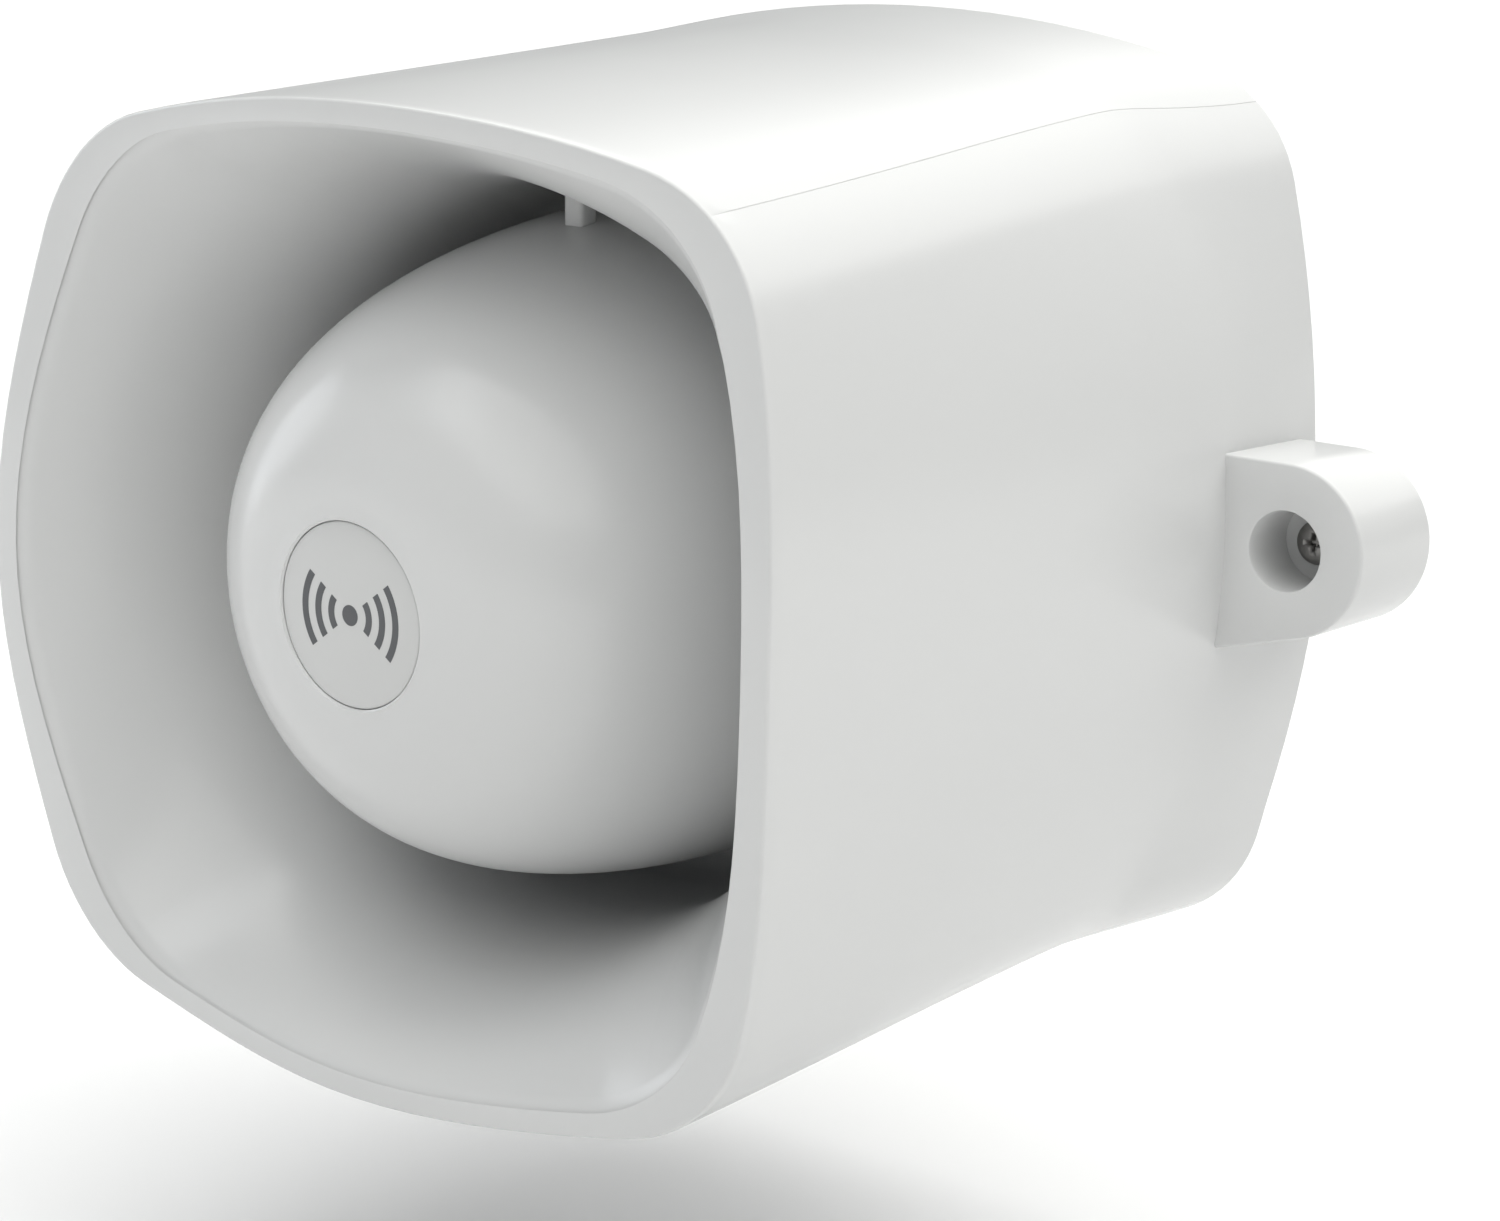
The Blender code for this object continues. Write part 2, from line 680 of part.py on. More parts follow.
def transistor(name, x, z, rear):
    """A flat three-leg package standing against the heat sink."""
    left, right, back = x - 5 * MM, x + 5 * MM, z + 2.2 * MM
    made = box(name, (left, rear - 13.5 * MM, z), (right, rear - 4.5 * MM, back), BLACK)
    tab = ((left, rear - 17 * MM, z + 1.2 * MM), (right, rear - 12 * MM, back))
    join(made, box(name + "_tab", *tab, None, cutters))
    for i in (-1, 0, 1):
        leg = box(
            f"{name}_leg_{i + 1}",
            (x + (2.5 * i - 0.45) * MM, rear - 5 * MM, z + 0.7 * MM),
            (x + (2.5 * i + 0.45) * MM, rear, z + 1.3 * MM),
            None,
            cutters,
        )
        join(made, leg)


def chip(name, x, z, rear):
    """A dual in-line package with four legs a side."""
    low, high = (x - 4.8 * MM, rear - 4.4 * MM, z - 3.1 * MM), (x + 4.8 * MM, rear - 0.8 * MM, z + 3.1 * MM)
    made = box(name, low, high, BLACK)
    for i in range(4):
        for side in (-1, 1):
            at = x + (2.54 * i - 3.81) * MM
            near, far = sorted((z + side * 2.8 * MM, z + side * 4.1 * MM))
            leg = box(
                f"{name}_leg_{i}_{side + 1}",
                (at - 0.4 * MM, rear - 2.8 * MM, near),
                (at + 0.4 * MM, rear, far),
                None,
                cutters,
            )
            join(made, leg)


def terminals(x, z, rear):
    """A four-way screw terminal block, its wire openings at the bottom, and its clamp screws."""
    pitch = 5.08 * MM
    left = x - 2 * pitch
    front = rear - 10 * MM
    made = box("terminal_block", (left, front, z - 4 * MM), (left + 4 * pitch, rear, z + 4 * MM), TERMINAL)
    for i in range(4):
        middle = left + (i + 0.5) * pitch
        cut(
            made,
            box(
                f"wire_opening_{i}",
                (middle - 1.7 * MM, rear - 5.5 * MM, z - 5 * MM),
                (middle + 1.7 * MM, rear - 2 * MM, z + 1 * MM),
                None,
                cutters,
            ),
            rod(f"clamp_well_{i}", middle, z, front - 1 * MM, front + 3 * MM, 2.1 * MM, None, cutters, 16),
        )
        span = (front + 0.9 * MM, front + 3 * MM - GAP)
        clamp = rod(f"clamp_screw_{i + 1}", middle, z, *span, 1.75 * MM, STEEL, sides=16)
        slot = box(
            f"clamp_slot_{i}",
            (middle - 2.2 * MM, front, z - 0.3 * MM),
            (middle + 2.2 * MM, front + 1.5 * MM, z + 0.3 * MM),
            None,
            cutters,
        )
        cut(clamp, slot)


# Base plate, gasket, grommet and case screws --------------------------------------------------------------


def base():
    """The plate that is screwed to the wall, with a tab and a boss under each ear and posts for the board."""
    behind_ledge = station_at(LEDGE_Y)
    rear = bowed_outline(behind_ledge, WALL + 2 * GAP)
    made = plate("base_plate", rear, -PLATE, 0, WHITE)
    for side, label in ((1, "right"), (-1, "left")):
        x = side * EAR_X
        arc = [math.radians(-90 + 22.5 * i) for i in range(9)]
        tab = [(50 * MM, -TAB_RADIUS)]
        tab += [(EAR_X + TAB_RADIUS * math.cos(a), TAB_RADIUS * math.sin(a)) for a in arc]
        tab = [(side * px, pz) for px, pz in tab + [(50 * MM, TAB_RADIUS)]]
        join(
            made,
            plate("base_tab_" + label, tab if side > 0 else tab[::-1], -PLATE, 0, None, cutters),
            rod("case_boss_" + label, x, 0, -8.8 * MM, -1 * MM, 4.6 * MM, None, cutters, 20),
        )
        cut(made, rod("case_pilot_" + label, x, 0, -12 * MM, -1 * MM, 2.3 * MM, None, cutters, 12))
    for number, (x, z) in enumerate(board_corners(), 1):
        join(made, rod(f"board_post_{number}", x, z, BOARD_Y + GAP, -1 * MM, 3 * MM, None, cutters, 12))
        cut(made, rod(f"board_pilot_{number}", x, z, -15 * MM, -3 * MM, 1.7 * MM, None, cutters, 10))
    for number, (sx, sz) in enumerate(((-1, -1), (1, -1), (-1, 1), (1, 1)), 1):
        x, z = sx * WALL_HOLE_X, sz * WALL_HOLE_Z
        cut(made, rod(f"wall_hole_{number}", x, z, -12 * MM, 2 * MM, WALL_HOLE_RADIUS, None, cutters, 16))
    cut(
        made,
        rod("cable_hole", CABLE_X, CABLE_Z, -12 * MM, 2 * MM, 7 * MM, None, cutters, 24),
        rod("tamper_hole", TAMPER_X, TAMPER_Z, -12 * MM, 2 * MM, 2.6 * MM, None, cutters, 16),
    )
    front = LEDGE_Y + GAP
    gasket = plate("housing_gasket", rear, front, front + GASKET, FOAM)
    inside = plate(
        "gasket_inside", bowed_outline(behind_ledge, WALL + LEDGE + 0.2 * MM), -20 * MM, 5 * MM, None, cutters
    )
    cut(gasket, inside)


def grommet():
    """A rubber bush that grips the plate's edge, with a hole for the cable."""
    profile = [
        (4.0, -6.2), (9.5, -6.2), (9.5, -3.3), (6.7, -3.3), (6.7, -0.3), (6.7, -0.1), (4.0, -0.1),
    ]
    turned("cable_grommet", [(r * MM, y * MM) for r, y in profile], CABLE_X, CABLE_Z, RUBBER, steps=24)


def tamper_switch():
    """A switch body on the rear of the board, with a sprung plunger that the wall presses in."""
    turned(
        "tamper_body",
        [
            (r * MM, y * MM)
            for r, y in ((2.5, -13.3), (4.6, -13.3), (4.6, -4.6), (2.5, -4.6))
        ],
        TAMPER_X,
        TAMPER_Z,
        BLACK,
        steps=16,
    )
    turned(
        "tamper_plunger",
        [
            (r * MM, y * MM)
            for r, y in (
                (0, -8.6), (1.0, -8.6), (1.0, -6.6), (2.1, -6.6), (2.1, TAMPER_PROUD / MM - 0.9),
                (1.5, TAMPER_PROUD / MM), (0, TAMPER_PROUD / MM),
            )
        ],
        TAMPER_X,
        TAMPER_Z,
        GREY,
        steps=16,
    )
    spring()


def spring():
    """The plunger's return spring, from the board's side of the switch to the plunger's shoulder."""
    turns, per_turn, radius = 4, 8, 1.7 * MM
    start, end = -12.6 * MM, -7.3 * MM
    points = []
    for i in range(turns * per_turn + 1):
        angle = 2 * math.pi * i / per_turn
        y = start + (end - start) * i / (turns * per_turn)
        points.append((TAMPER_X + radius * math.cos(angle), y, TAMPER_Z + radius * math.sin(angle)))
    wire("tamper_spring", points, 0.3 * MM, ZINC, 1)


def case_screws():
    """The two screws at the bottom of the ears' counterbores."""
    seat, radius, head = COUNTERBORE_FLOOR - GAP, 2.95 * MM, 1.9 * MM
    for side, label in ((1, "right"), (-1, "left")):
        made = screw("case_screw_" + label, side * EAR_X, 0, seat, radius, head, 2.0 * MM, 10.4 * MM, 1)
        cross_recess(made, side * EAR_X, 0, seat - head, radius, 1.2 * MM)


housing()
dome()
badge()
driver()
electronics()
base()
grommet()
tamper_switch()
case_screws()
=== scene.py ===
"""A wall-mounted siren horn: fine surfaces and finishes round its solid parts.

Frame: metres, +Z up. The wall is the plane y = 0 and the horn faces -Y, with +X at the right of a person
facing the horn. The origin is the centre of the base plate's wall face, level with the two side ears.
"""

import json
import math
from collections import namedtuple

import bmesh
import bpy
from mathutils import Matrix, Vector


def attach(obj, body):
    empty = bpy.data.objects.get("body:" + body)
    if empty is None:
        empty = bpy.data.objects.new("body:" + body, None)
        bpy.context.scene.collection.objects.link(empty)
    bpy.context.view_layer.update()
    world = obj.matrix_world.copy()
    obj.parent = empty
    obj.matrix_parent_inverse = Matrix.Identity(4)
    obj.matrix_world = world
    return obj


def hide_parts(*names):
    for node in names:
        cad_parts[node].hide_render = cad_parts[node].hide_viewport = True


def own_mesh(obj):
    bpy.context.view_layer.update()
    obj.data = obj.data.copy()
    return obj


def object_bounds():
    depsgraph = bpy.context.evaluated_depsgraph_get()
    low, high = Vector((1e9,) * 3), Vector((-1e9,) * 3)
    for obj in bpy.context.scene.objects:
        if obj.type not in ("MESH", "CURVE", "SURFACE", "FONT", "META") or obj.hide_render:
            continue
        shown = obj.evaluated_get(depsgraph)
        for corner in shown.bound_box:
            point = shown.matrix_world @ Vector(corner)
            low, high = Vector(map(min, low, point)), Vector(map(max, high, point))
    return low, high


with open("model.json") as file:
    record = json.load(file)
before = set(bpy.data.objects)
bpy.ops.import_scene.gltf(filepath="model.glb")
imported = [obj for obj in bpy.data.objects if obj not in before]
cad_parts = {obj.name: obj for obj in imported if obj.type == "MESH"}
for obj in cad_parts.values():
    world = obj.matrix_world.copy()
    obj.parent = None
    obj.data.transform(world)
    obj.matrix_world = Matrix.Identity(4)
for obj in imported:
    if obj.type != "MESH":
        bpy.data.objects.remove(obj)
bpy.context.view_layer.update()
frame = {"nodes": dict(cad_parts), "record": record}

MM = 0.001

# Steps round each turned piece
DOME_AROUND, BADGE_AROUND, DOT_AROUND, SCREW_AROUND = 144, 128, 32, 48

# Overall sizes
DEPTH = 115 * MM  # wall to the mean plane of the mouth's rim
MOUTH_DROP = 6 * MM  # the mouth's axis is this far below the ears
WALL = 2.8 * MM
GAP = 0.3 * MM  # clearance between fitted parts
EDGE, EDGE_STEPS = 0.45 * MM, 3  # radius of moulded edges, and the steps that round it
SKIRT_EDGE = -0.5 * MM  # the shell's rear edge, just clear of the wall
LEDGE_Y = -4.4 * MM  # the ledge inside the skirt, which the base plate's seal meets
LEDGE = 2.5 * MM
LEDGE_THICK = 2.4 * MM

# The housing's outline at three stations, as half sizes and arc radii, and the height of its centre
Station = namedtuple("Station", "half_w half_h side_bow top_bow corner z")
FRONT = Station(67.3 * MM, 63.6 * MM, 151.6 * MM, 202 * MM, 23.9 * MM, -MOUTH_DROP)
WAIST = Station(67.2 * MM, 65.1 * MM, 110.7 * MM, 180 * MM, 23.9 * MM, -1.5 * MM)
REAR = Station(67.9 * MM, 65.6 * MM, 180.8 * MM, 203.5 * MM, 20 * MM, 0.0)
WAIST_Y = -27.4 * MM
RIM_INSIDE = Station(63.2 * MM, 60.6 * MM, 110 * MM, 193 * MM, 24 * MM, -MOUTH_DROP)  # the flare's start
SIDE_STEPS, CORNER_STEPS = 9, 12
SHELL_FIRST, SHELL_STEP, SHELL_RINGS = -6 * MM, 2.75 * MM, 40  # evenly spaced rings of the outside
SKIRT_LIP = 0.3 * MM  # a ring this close to the rear edge keeps that edge crisp
INSIDE_PLACES = (-106 * MM, -80 * MM, -48 * MM, WAIST_Y, -10 * MM)  # rings of the wall's inner face
CROWN_SIDES, CROWN_CORNERS = 0.6 * MM, 2 * MM  # the rim's sides stand forward, and its corners back
SEAM_AT = 7  # the mould's parting line follows this step of each corner
SEAM_DEPTH = 0.07 * MM
SEAM_WIDTH = 0.04  # half the parting line's width, as a share of a step

# Horn flare and well
FLARE_END = -70 * MM
FLARE_POWER = 2.2
FLARE_FIRST, FLARE_STEPS = 0.02, 24  # a first ring close behind the rim, then even steps
FLARE_WALL = 2.3 * MM
FLARE_BACK = 1 * MM  # how far the flare's hidden face is set back from its visible one
FLARE_BACK_PLACES = (1, 0.62, 0.36, 0.22)  # rings of the hidden face, as shares of the flare's depth
DUCT_Z = -4 * MM  # height of the well's and the duct's axis
DUCT_HOLE = 12.5 * MM  # radius
WELL_RADIUS = 49.4 * MM
WELL_PLACES = (-62 * MM, -54 * MM)  # rings of the well's wall
WELL_FLOOR = -47.5 * MM
WELL_FLOOR_THICK = 3 * MM
WELL_FILLET, WELL_FILLET_STEPS = 6 * MM, 6  # between the well's wall and its floor
WELL_BEVEL = (4 * MM, 6.5 * MM)  # bevel round its back: its start, in from the well's wall, and its depth

# Slot in the skirt for the base plate's tab, on each side
NOTCH_SIZE = (8 * MM, 8 * MM, 17.2 * MM)
NOTCH_X, NOTCH_Y = 66 * MM, 0.7 * MM

# Reflector dome and its struts
NOSE = -117.4 * MM
NOSE_START = 0.0062  # share of the dome's length where its curve starts; within it the nose is flat
DOME_RADIUS = 44.9 * MM
DOME_LENGTH = 65.5 * MM
DOME_POWER = 0.262
DOME_STEPS, DOME_CROWDING = 40, 2.2  # rings from nose to rear, crowded towards the nose
DOME_TILT = math.radians(3)  # the nose dips to the mouth's axis, and the rear is on the duct's
DOME_WALL = 2 * MM
NOSE_WALL = 2.6 * MM
NOSE_INSIDE = 0.4 * MM  # depth of the hollow's blunt end
STRUT_ANGLES = [math.radians(a) for a in (90, 210, 330)]
STRUT_Y = -75.4 * MM
STRUT_ROOT = 2.7 * MM  # a strut starts this far inside the dome's widest radius
STRUT_GAP = GAP + 0.1 * MM  # and ends this far short of the well
STRUT_HALF_WIDTH, STRUT_HALF_DEPTH = 1.7 * MM, 1.6 * MM
STRUT_EDGE, STRUT_EDGE_STEPS = 0.7 * MM, 4  # radius of a strut's edges

# Badge and its mark
BADGE_RADIUS = 12 * MM
BADGE_SEAT = 1 * MM  # depth of the badge's recess
BADGE_SUNK = 0.25 * MM  # depth of the badge's face in its recess
BADGE_GAP = 0.06 * MM
BADGE_ROUNDING = ((0.3 * MM, 0), (0.1 * MM, 0.08 * MM), (0, 0.3 * MM))  # in and back by
MARK_RADII = (3.3 * MM, 5.6 * MM, 7.9 * MM)
MARK_WIDTH = 1.05 * MM
MARK_DOT = 1.35 * MM
MARK_HALF_ANGLE, MARK_STEPS = math.radians(36), 24
MARK_PROUD, MARK_ROOT = 0.03 * MM, 0.02 * MM  # before and behind the badge's face

# Ears
EAR_X = 76.3 * MM
EAR_RADIUS = 11.7 * MM
EAR_ROOT = 65.6 * MM  # the ears start this far from the middle, within the shell's thickness
EAR_FRONT = -21.8 * MM
EAR_REAR = -4 * MM
EAR_EDGE = 0.3 * MM  # small bevel at the rear
EAR_DRAFT = math.radians(14.5)  # an ear's underside slopes down to its root
EAR_STEPS = 96
COUNTERBORE_RADIUS = 5.35 * MM
COUNTERBORE_FLOOR = -12.4 * MM
COUNTERBORE_LIP = ((0.35 * MM, 0), (0.1 * MM, 0.1 * MM), (0, 0.35 * MM))  # wider and deeper by
SCREW_HOLE = 2.4 * MM  # radius
POCKET_RADIUS, POCKET_FLOOR = 5 * MM, -9.2 * MM  # at the rear, for the boss on the base plate's tab
LAND = 1.5 * MM  # how far the side is thickened at its rear edge, below each ear
LAND_FOOT = 40 * MM  # the land has faded out this far below the ear's axis

# Case screws
HEAD_RADIUS, HEAD_HEIGHT = 2.95 * MM, 1.9 * MM
HEAD_CROWN = 0.55  # the domed share of the head's height
HEAD_STEPS = 8
HEAD_EDGE = 0.15 * MM
SHANK_RADIUS, SHANK_LENGTH = 2 * MM, 9 * MM
TIP_RADIUS, TIP_LENGTH = 0.6 * MM, 1.4 * MM
CROSS_ARM, CROSS_SLOT, CROSS_DEPTH = 1.85 * MM, 0.48 * MM, 1.3 * MM  # half sizes, and depth below the top
CROSS_TAPER = 0.45  # size of the cross at its bottom, as a share of its size above the head
CROSS_ABOVE = 0.5 * MM  # how far the tool that cuts it stands clear of the head

# Base plate, cable bush and tamper switch
PLATE_EDGE = 0.25 * MM
BUSH_EDGE = 0.3 * MM

# Floor, lights and camera
FLOOR_DROP = 40 * MM  # the horn hangs on its wall mount, clear of the floor
FLOOR_SIZE = 6
SUN_SPREAD = math.radians(90)
SOFTBOX_AIM = Vector((0, -0.05, 0))  # a point inside the horn
LENS = 89.37
CAMERA_AT = (0.32280, -0.43665, 0.09660)
CAMERA_TURN = (1.3515, -0.0260, 0.6867)


# Materials ------------------------------------------------------------------------------------------------


# Two close colours, the range of roughness, the scales of the patches and the grain, and the grain's depth
Look = namedtuple("Look", "colour tint roughness patch grain depth metallic", defaults=[0.0])
LOOKS = {
    "white_plastic": Look((0.642, 0.645, 0.643), (0.672, 0.675, 0.673), (0.20, 0.27), 14, 420, 0.03),
    "badge_white": Look((0.600, 0.603, 0.598), (0.625, 0.628, 0.623), (0.30, 0.36), 60, 900, 0.03),
    "plate_white": Look((0.62, 0.62, 0.60), (0.65, 0.65, 0.635), (0.45, 0.55), 30, 1500, 0.25),
    "grey_plastic": Look((0.50, 0.51, 0.52), (0.57, 0.58, 0.59), (0.40, 0.50), 50, 1500, 0.2),
    # screw_steel: a dark steel whose colour is darkened further with painted shade of the deep counterbore
    # the screws sit in
    "screw_steel": Look((0.22, 0.215, 0.21), (0.36, 0.35, 0.34), (0.28, 0.48), 500, 2500, 0.2, 1.0),
    "zinc_steel": Look((0.60, 0.61, 0.63), (0.72, 0.72, 0.70), (0.28, 0.45), 150, 1800, 0.15, 1.0),
    "ferrite": Look((0.045, 0.045, 0.05), (0.085, 0.085, 0.09), (0.60, 0.80), 300, 2500, 0.4),
    "copper_wire": Look((0.70, 0.28, 0.12), (0.82, 0.38, 0.18), (0.25, 0.40), 400, 3500, 0.4, 1.0),
    "diaphragm_resin": Look((0.40, 0.22, 0.09), (0.52, 0.31, 0.13), (0.45, 0.60), 500, 3000, 0.35),
    "black_rubber": Look((0.022, 0.022, 0.022), (0.040, 0.040, 0.040), (0.65, 0.85), 120, 2200, 0.3),
    "gasket_foam": Look((0.07, 0.07, 0.075), (0.14, 0.14, 0.145), (0.85, 0.95), 900, 2600, 0.7),
    "board_green": Look((0.02, 0.17, 0.06), (0.04, 0.26, 0.10), (0.25, 0.40), 180, 2400, 0.15),
    "black_component": Look((0.022, 0.022, 0.024), (0.040, 0.040, 0.042), (0.45, 0.60), 200, 2600, 0.3),
    "capacitor_sleeve": Look((0.025, 0.04, 0.14), (0.04, 0.06, 0.19), (0.25, 0.35), 150, 1500, 0.08),
    "aluminium": Look((0.72, 0.73, 0.74), (0.84, 0.85, 0.86), (0.30, 0.45), 220, 2600, 0.2, 1.0),
    "terminal_green": Look((0.04, 0.26, 0.12), (0.06, 0.33, 0.16), (0.40, 0.50), 120, 1900, 0.15),
    "winding_tape": Look((0.68, 0.52, 0.09), (0.80, 0.66, 0.16), (0.35, 0.50), 260, 1600, 0.2),
    "red_wire": Look((0.48, 0.025, 0.018), (0.60, 0.04, 0.03), (0.35, 0.45), 200, 1800, 0.1),
    "black_wire": Look((0.015, 0.015, 0.015), (0.03, 0.03, 0.03), (0.35, 0.45), 200, 1800, 0.1),
    "mark_ink": Look((0.075, 0.078, 0.085), (0.10, 0.103, 0.11), (0.40, 0.50), 200, 1800, 0.1),
    "floor_paper": Look((0.78, 0.78, 0.782), (0.79, 0.79, 0.792), (0.85, 0.95), 2, 200, 0.02),
}


def finish_of(name, look):
    """A procedural finish: two colours in soft patches, roughness that drifts with them, and a fine grain."""
    made = bpy.data.materials.new(name)
    made.use_nodes = True
    tree = made.node_tree
    shader = tree.nodes["Principled BSDF"]
    place = tree.nodes.new("ShaderNodeTexCoord")

    def noise(scale, detail):
        node = tree.nodes.new("ShaderNodeTexNoise")
        node.inputs["Scale"].default_value = scale
        node.inputs["Detail"].default_value = detail
        tree.links.new(place.outputs["Object"], node.inputs["Vector"])
        return node.outputs["Fac"]

    patches, fine = noise(look.patch, 3), noise(look.grain, 2)
    mix = tree.nodes.new("ShaderNodeMix")
    mix.data_type = "RGBA"
    mix.inputs["A"].default_value = (*look.colour, 1)
    mix.inputs["B"].default_value = (*look.tint, 1)
    tree.links.new(patches, mix.inputs["Factor"])
    tree.links.new(mix.outputs["Result"], shader.inputs["Base Color"])
    drift = tree.nodes.new("ShaderNodeMapRange")
    drift.inputs["To Min"].default_value, drift.inputs["To Max"].default_value = look.roughness
    tree.links.new(patches, drift.inputs["Value"])
    tree.links.new(drift.outputs["Result"], shader.inputs["Roughness"])
    bump = tree.nodes.new("ShaderNodeBump")
    bump.inputs["Strength"].default_value = look.depth
    bump.inputs["Distance"].default_value = 0.1 * MM
    tree.links.new(fine, bump.inputs["Height"])
    tree.links.new(bump.outputs["Normal"], shader.inputs["Normal"])
    shader.inputs["Metallic"].default_value = look.metallic
    return made


FINISHES = {name: finish_of(name, look) for name, look in LOOKS.items()}

for part in frame["record"]["subparts"]:
    for slot in frame["nodes"][part["node"]].material_slots:
        slot.material = FINISHES[part["material_slot"]]


# Making pieces --------------------------------------------------------------------------------------------


def piece(mesh, name, slot, body, node=None):
    """Adds a mesh as a piece that rides on a body, and that may stand for a solid of the frame."""
    made = bpy.data.objects.new(name, mesh)
    bpy.context.scene.collection.objects.link(made)
    mesh.materials.append(FINISHES[slot])
    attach(made, body)
    if node:
        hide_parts(node)
    return made


def as_mesh(shape, name, sharp=35):
    """Ends a bmesh as a mesh that is smooth but for edges sharper than the given degrees."""
    bmesh.ops.recalc_face_normals(shape, faces=shape.faces)
    mesh = bpy.data.meshes.new(name)
    shape.to_mesh(mesh)
    shape.free()
    mesh.shade_smooth()
    mesh.set_sharp_from_angle(angle=math.radians(sharp))
    return mesh


def loft(shape, rings, around=True):
    """Joins rings of equal length into one closed surface, the last to the first if around is set."""
    rows = [[shape.verts.new(point) for point in row] for row in rings]
    pairs = list(zip(rows, rows[1:] + rows[:1])) if around else list(zip(rows, rows[1:]))
    count = len(rows[0])
    for row, following in pairs:
        for i in range(count):
            j = (i + 1) % count
            shape.faces.new((row[i], row[j], following[j], following[i]))
    return rows


def cap(shape, row, centre):
    """Closes a row of vertices with a fan to a centre point."""
    middle = shape.verts.new(centre)
    for i in range(len(row)):
        shape.faces.new((row[i], row[(i + 1) % len(row)], middle))


def prism(shape, rings):
    """A solid between two rings."""
    for row in loft(shape, rings, False):
        shape.faces.new(row)


def less(mesh, tool):
    """The mesh with the tool's volume cut out of it."""
    made, cutter = (bpy.data.objects.new(data.name, data) for data in (mesh, tool))
    for each in (made, cutter):
        bpy.context.scene.collection.objects.link(each)
    step = made.modifiers.new("cut", "BOOLEAN")
    step.object, step.operation, step.solver = cutter, "DIFFERENCE", "EXACT"
    graph = bpy.context.evaluated_depsgraph_get()
    result = bpy.data.meshes.new_from_object(made.evaluated_get(graph), depsgraph=graph)
    for each in (made, cutter):
        bpy.data.objects.remove(each)
    return result


def circle(radius, x, y, z, steps):
    """Points round a line along Y through (x, z)."""
    return [
        (x + radius * math.cos(2 * math.pi * i / steps), y, z + radius * math.sin(2 * math.pi * i / steps))
        for i in range(steps)
    ]


def turned(name, profile, x, steps):
    """Turns a profile of (radius, y) points about the line along Y through (x, 0)."""
    shape = bmesh.new()
    closed = profile[0][0] > 0 and profile[-1][0] > 0
    body = [point for point in profile if point[0] > 0]
    rows = loft(shape, [circle(r, x, y, 0, steps) for r, y in body], closed)
    if not closed:
        cap(shape, rows[0], (x, profile[0][1], 0))
        cap(shape, rows[-1], (x, profile[-1][1], 0))
    return as_mesh(shape, name)


# Outlines -------------------------------------------------------------------------------------------------


def bowed_outline(shape, inset=0.0):
    """(x, z) points round a square whose sides are shallow arcs and whose corners are tighter arcs."""
    half_w, half_h = shape.half_w - inset, shape.half_h - inset
    side, top, corner = shape.side_bow - inset, shape.top_bow - inset, max(shape.corner - inset, 1 * MM)
    side_x, top_z = half_w - side, half_h - top
    # The corner arc touches both bows from inside, so its centre is side - corner from the side bow's
    # centre and top - corner from the top bow's.
    apart = math.hypot(side_x, top_z)
    along = ((side - corner) ** 2 - (top - corner) ** 2 + apart**2) / (2 * apart)
    across = math.sqrt((side - corner) ** 2 - along**2)
    ux, uz = -side_x / apart, top_z / apart
    x, z = side_x + along * ux - across * uz, along * uz + across * ux
    first, last = math.atan2(z, x - side_x), math.atan2(z - top_z, x)
    corner_steps = sorted([*range(CORNER_STEPS), SEAM_AT - SEAM_WIDTH, SEAM_AT + SEAM_WIDTH])
    arcs = (
        (side_x, 0, side, 0, first / SIDE_STEPS, range(SIDE_STEPS)),
        (x, z, corner, first, (last - first) / CORNER_STEPS, corner_steps),
        (0, top_z, top, last, (math.pi / 2 - last) / SIDE_STEPS, range(SIDE_STEPS)),
    )
    quarter = [
        (cx + r * math.cos(start + step * i), cz + r * math.sin(start + step * i))
        for cx, cz, r, start, step, places in arcs
        for i in places
    ]
    right_top = quarter + [(0.0, half_h)]
    upper = right_top + [(-px, pz) for px, pz in reversed(quarter)]
    lower = [(px, -pz) for px, pz in reversed(upper[1:-1])]
    return [(px, pz + shape.z) for px, pz in upper + lower]


def station_at(y):
    """The housing's outline at y: a smooth curve through the front, waist and rear stations."""
    t, turn = (y + DEPTH) / DEPTH, (WAIST_Y + DEPTH) / DEPTH
    values = []
    for front, waist, rear in zip(FRONT, WAIST, REAR):
        before, after = (waist - front) / turn, (rear - waist) / (1 - turn)
        slope = 0.0 if before * after <= 0 else 2 * before * after / (before + after)
        if t <= turn:
            values.append(hermite(front, waist, before, slope, turn, t / turn))
        else:
            values.append(hermite(waist, rear, slope, after, 1 - turn, (t - turn) / (1 - turn)))
    return Station(*values)


def hermite(start, end, start_slope, end_slope, span, t):
    """A cubic's value at t, from 0 at its start to 1 at its end, which is a span away."""
    return (
        start * (1 + 2 * t) * (1 - t) ** 2
        + end * t * t * (3 - 2 * t)
        + span * start_slope * t * (1 - t) ** 2
        - span * end_slope * t * t * (1 - t)
    )


def crown(x, z):
    """How far the rim stands back (+) or forward (-) of its mean plane: the corners stand back."""
    angle = math.atan2(z + MOUTH_DROP, x)
    return -CROWN_SIDES * math.cos(2 * angle) - CROWN_CORNERS * math.cos(4 * angle)


def fade(y):
    """The share of the rim's crown at y: it is gone halfway back."""
    return max(0.0, -2 * y / DEPTH - 1)


def ring(outline, y, crowned=0.0):
    """An outline placed at y, with a share of the rim's crown."""
    return [(x, y + crowned * crown(x, z), z) for x, z in outline]


def outer_ring(y):
    """A ring of the outside, with the parting line in each corner and the land below each ear."""
    outline, seam = (bowed_outline(station_at(y), inset) for inset in (0, SEAM_DEPTH))
    quarter, column = len(outline) // 4, SIDE_STEPS + SEAM_AT + 1
    for i in (column, 2 * quarter - column, 2 * quarter + column, 4 * quarter - column):
        outline[i] = seam[i]
    along = min(1, max(0, (y - EAR_FRONT) / (SKIRT_EDGE - EAR_FRONT)))
    landed = []
    for x, z in outline:
        down = min(1, max(0, (z + LAND_FOOT) / (LAND_FOOT - EAR_RADIUS))) if z < 0 else 0
        landed.append((x + math.copysign(LAND * along * down, x), z))
    return ring(landed, y, fade(y))


